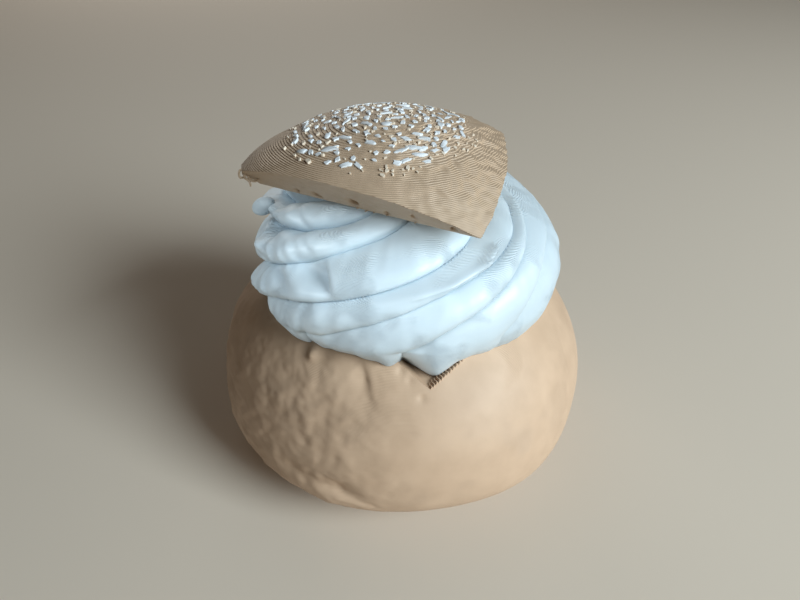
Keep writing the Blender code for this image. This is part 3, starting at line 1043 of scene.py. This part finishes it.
def new_group(name, inputs, outputs):
    """A shader group with its sockets: a number makes a value socket, and four numbers make a colour."""
    group = bpy.data.node_groups.new(name, "ShaderNodeTree")
    for label, value in inputs:
        kind = "NodeSocketColor" if isinstance(value, tuple) else "NodeSocketFloat"
        group.interface.new_socket(label, in_out="INPUT", socket_type=kind).default_value = value
    for label, kind in outputs:
        group.interface.new_socket(label, in_out="OUTPUT", socket_type=kind)
    print("group", name, "inputs", [label for label, _ in inputs])
    return group


# %% Group: printed layers
layers_group = new_group(
    "printed_layers",
    (("Layer", LAYER), ("Wander", 0.3), ("Patchy", 0.0)),
    (("Height", "NodeSocketFloat"), ("Groove Shade", "NodeSocketFloat")),
)
entry = add_node(layers_group, "NodeGroupInput")
leave = add_node(layers_group, "NodeGroupOutput")
where = add_node(layers_group, "ShaderNodeTexCoord")
split = add_node(layers_group, "ShaderNodeSeparateXYZ")
layers_group.links.new(where.outputs["Object"], split.inputs[0])
cloud = add_node(layers_group, "ShaderNodeTexNoise")
cloud.inputs["Scale"].default_value = 350
cloud.inputs["Detail"].default_value = 2
layers_group.links.new(where.outputs["Object"], cloud.inputs["Vector"])
count = maths(layers_group, "DIVIDE", split.outputs["Z"], entry.outputs["Layer"])
wander = maths(layers_group, "MULTIPLY", cloud.outputs[0], entry.outputs["Wander"])
phase = maths(layers_group, "MULTIPLY", maths(layers_group, "ADD", count, wander), 2 * math.pi)
wave = maths(layers_group, "SINE", phase)
level = maths(layers_group, "MULTIPLY", maths(layers_group, "ADD", wave, 1), 0.5)
patch = add_node(layers_group, "ShaderNodeMapRange")
patch.inputs["From Min"].default_value = 0.5
patch.inputs["From Max"].default_value = 0.62
spots = add_node(layers_group, "ShaderNodeTexNoise")
spots.inputs["Scale"].default_value = 110
layers_group.links.new(where.outputs["Object"], spots.inputs["Vector"])
layers_group.links.new(spots.outputs[0], patch.inputs["Value"])
between = maths(layers_group, "SUBTRACT", 1, patch.outputs[0])
bare = maths(layers_group, "MULTIPLY", between, entry.outputs["Patchy"])
shown = maths(layers_group, "SUBTRACT", 1, bare)
layers_group.links.new(maths(layers_group, "MULTIPLY", level, shown), leave.inputs["Height"])
# The troughs between layers darken the colour: painted shade in the layer grooves.
groove_shade = maths(layers_group, "POWER", maths(layers_group, "SUBTRACT", 1, level), 4)
layers_group.links.new(maths(layers_group, "MULTIPLY", groove_shade, shown), leave.inputs["Groove Shade"])

# %% Group: uneven tone
tone_group = new_group(
    "uneven_tone",
    (("Light", (1, 1, 1, 1)), ("Dark", (0.5, 0.5, 0.5, 1)), ("Scale", 60), ("Groove Shade", 0), ("Dullness", 0.5)),
    (("Color", "NodeSocketColor"), ("Roughness", "NodeSocketFloat")),
)
entry = add_node(tone_group, "NodeGroupInput")
leave = add_node(tone_group, "NodeGroupOutput")
where = add_node(tone_group, "ShaderNodeTexCoord")
cloud = add_node(tone_group, "ShaderNodeTexNoise")
cloud.inputs["Detail"].default_value = 4
tone_group.links.new(where.outputs["Object"], cloud.inputs["Vector"])
tone_group.links.new(entry.outputs["Scale"], cloud.inputs["Scale"])
spread = add_node(tone_group, "ShaderNodeMapRange")
spread.inputs["From Min"].default_value = 0.3
spread.inputs["From Max"].default_value = 0.7
tone_group.links.new(cloud.outputs[0], spread.inputs["Value"])
# The dark colour is also mixed into the layer grooves: painted shade.
tone_and_groove_shade = maths(tone_group, "MAXIMUM", spread.outputs[0], entry.outputs["Groove Shade"])
blend = add_node(tone_group, "ShaderNodeMix", data_type="RGBA")
tone_group.links.new(tone_and_groove_shade, blend.inputs["Factor"])
tone_group.links.new(entry.outputs["Light"], blend.inputs["A"])
tone_group.links.new(entry.outputs["Dark"], blend.inputs["B"])
tone_group.links.new(blend.outputs["Result"], leave.inputs["Color"])
rough = add_node(tone_group, "ShaderNodeMapRange")
rough.inputs["To Min"].default_value = -0.07
rough.inputs["To Max"].default_value = 0.07
tone_group.links.new(cloud.outputs[0], rough.inputs["Value"])
dull = maths(tone_group, "ADD", rough.outputs[0], entry.outputs["Dullness"])
tone_group.links.new(dull, leave.inputs["Roughness"])


# %% Printed plastic in five colours
def printed_plastic(name, light, dark, scale, depth, patchy=0.0, dullness=0.55):
    """Layer lines in the bump, painted shade in their grooves, and an uneven tone between a light and a dark
    colour.
    """
    material = bpy.data.materials.new(name)
    material.use_nodes = True
    tree = material.node_tree
    shader = tree.nodes["Principled BSDF"]
    lines = add_node(tree, "ShaderNodeGroup")
    lines.node_tree = layers_group
    lines.inputs["Layer"].default_value = LAYER
    lines.inputs["Patchy"].default_value = patchy
    tone = add_node(tree, "ShaderNodeGroup")
    tone.node_tree = tone_group
    tone.inputs["Light"].default_value = (*light, 1)
    tone.inputs["Dark"].default_value = (*dark, 1)
    tone.inputs["Scale"].default_value = scale
    tone.inputs["Dullness"].default_value = dullness
    # The layer grooves darken the colour: painted shade.
    tree.links.new(lines.outputs["Groove Shade"], tone.inputs["Groove Shade"])
    tree.links.new(tone.outputs["Color"], shader.inputs["Base Color"])
    tree.links.new(tone.outputs["Roughness"], shader.inputs["Roughness"])
    bump = add_node(tree, "ShaderNodeBump")
    bump.inputs["Strength"].default_value = 1
    bump.inputs["Distance"].default_value = depth
    tree.links.new(lines.outputs["Height"], bump.inputs["Height"])
    tree.links.new(bump.outputs["Normal"], shader.inputs["Normal"])
    return material


bun_plastic = printed_plastic("bun_plastic", (0.66, 0.465, 0.32), (0.58, 0.40, 0.27), 150, 0.000035,
                              patchy=0.8)
cream_plastic = printed_plastic("cream_plastic", (0.595, 0.685, 0.74), (0.56, 0.655, 0.72), 70, 0.00009,
                                patchy=1.0, dullness=0.42)
lid_plastic = printed_plastic("lid_plastic", (0.60, 0.448, 0.32), (0.50, 0.368, 0.252), 90, 0.000006)
fleck_plastic = printed_plastic("fleck_plastic", (0.85, 0.89, 0.93), (0.77, 0.82, 0.87), 300, 0.00001)
# The crumbs' colour is a painted highlight: a paler copy of the lid's tan
crumb_highlight_plastic = printed_plastic("crumb_highlight_plastic", (0.86, 0.76, 0.64), (0.78, 0.66, 0.52), 300, 0.00001)

cream_shader = cream_plastic.node_tree.nodes["Principled BSDF"]
cream_shader.inputs["Subsurface Weight"].default_value = 0.3
cream_shader.inputs["Subsurface Radius"].default_value = (1, 1, 1)
cream_shader.inputs["Subsurface Scale"].default_value = 0.0018

# %% Give each piece its plastic
for piece, material, slot in (
    (bun, bun_plastic, "bun_tan"),
    (cream, cream_plastic, "cream_white"),
    (lid, lid_plastic, "lid_tan"),
    (flecks, fleck_plastic, "lid_tan"),
    (crumbs, crumb_highlight_plastic, "lid_tan"),
    (comb, bun_plastic, "bun_tan"),
    (strings, lid_plastic, "lid_tan"),
):
    piece.data.materials.clear()
    piece.data.materials.append(material)
print("materials:", [m.name for m in bpy.data.materials if m.users])

# %% [markdown]
# ## Floor and light
# The picture's light is a cool window in front on the right. A large soft lamp there models the ridges and
# leaves the left side dark, a weak one from behind keeps the back readable, and a pale floor and a warm
# world fill the rest. White plastic also passes light on inside itself, so the real cream's left side is
# far brighter than the bun's. A third lamp stands for that light. Light linking lets it shine on the cream
# alone: the lamp is given a collection of receivers, and everything outside the collection stays as it was.

# %% Floor
bpy.ops.mesh.primitive_plane_add(size=4)
floor = bpy.context.object
floor.name = "floor"
floor_paint = bpy.data.materials.new("floor_paint")
floor_paint.use_nodes = True
floor_shader = floor_paint.node_tree.nodes["Principled BSDF"]
floor_shader.inputs["Base Color"].default_value = (0.70, 0.61, 0.51, 1)
floor_shader.inputs["Roughness"].default_value = 0.8
floor.data.materials.append(floor_paint)

# %% Lamps
# Each lamp: name, watts, width, place, and colour
LAMPS = (
    ("window", 9.6, 0.42, (0.63, -0.46, 0.47), (0.87, 1.0, 1.06)),
    ("fill", 1.5, 0.6, (-0.25, 0.88, 0.32), (1.0, 0.96, 0.9)),
    ("cream_glow", 4.5, 0.45, (-0.52, -0.50, 0.58), (0.9, 1.0, 1.05)),
)
AIM = Vector((0, 0, 0.03))
for name, power, size, place, colour in LAMPS:
    lamp = bpy.data.lights.new(name, "AREA")
    lamp.energy = power
    lamp.size = size
    lamp.color = colour
    holder = bpy.data.objects.new(name, lamp)
    holder.location = place
    holder.rotation_euler = (AIM - Vector(place)).to_track_quat("-Z", "Y").to_euler()
    bpy.context.scene.collection.objects.link(holder)
    if name == "cream_glow":
        lit = bpy.data.collections.new("lit_by_glow")
        lit.objects.link(cream)
        holder.light_linking.receiver_collection = lit
    print("lamp", name, power, "W")

# %% World
world = bpy.data.worlds.new("studio")
world.use_nodes = True
sky = world.node_tree.nodes["Background"]
sky.inputs["Color"].default_value = (1.0, 0.85, 0.68, 1)
sky.inputs["Strength"].default_value = 0.06
bpy.context.scene.world = world
bpy.context.scene.view_settings.view_transform = "Standard"
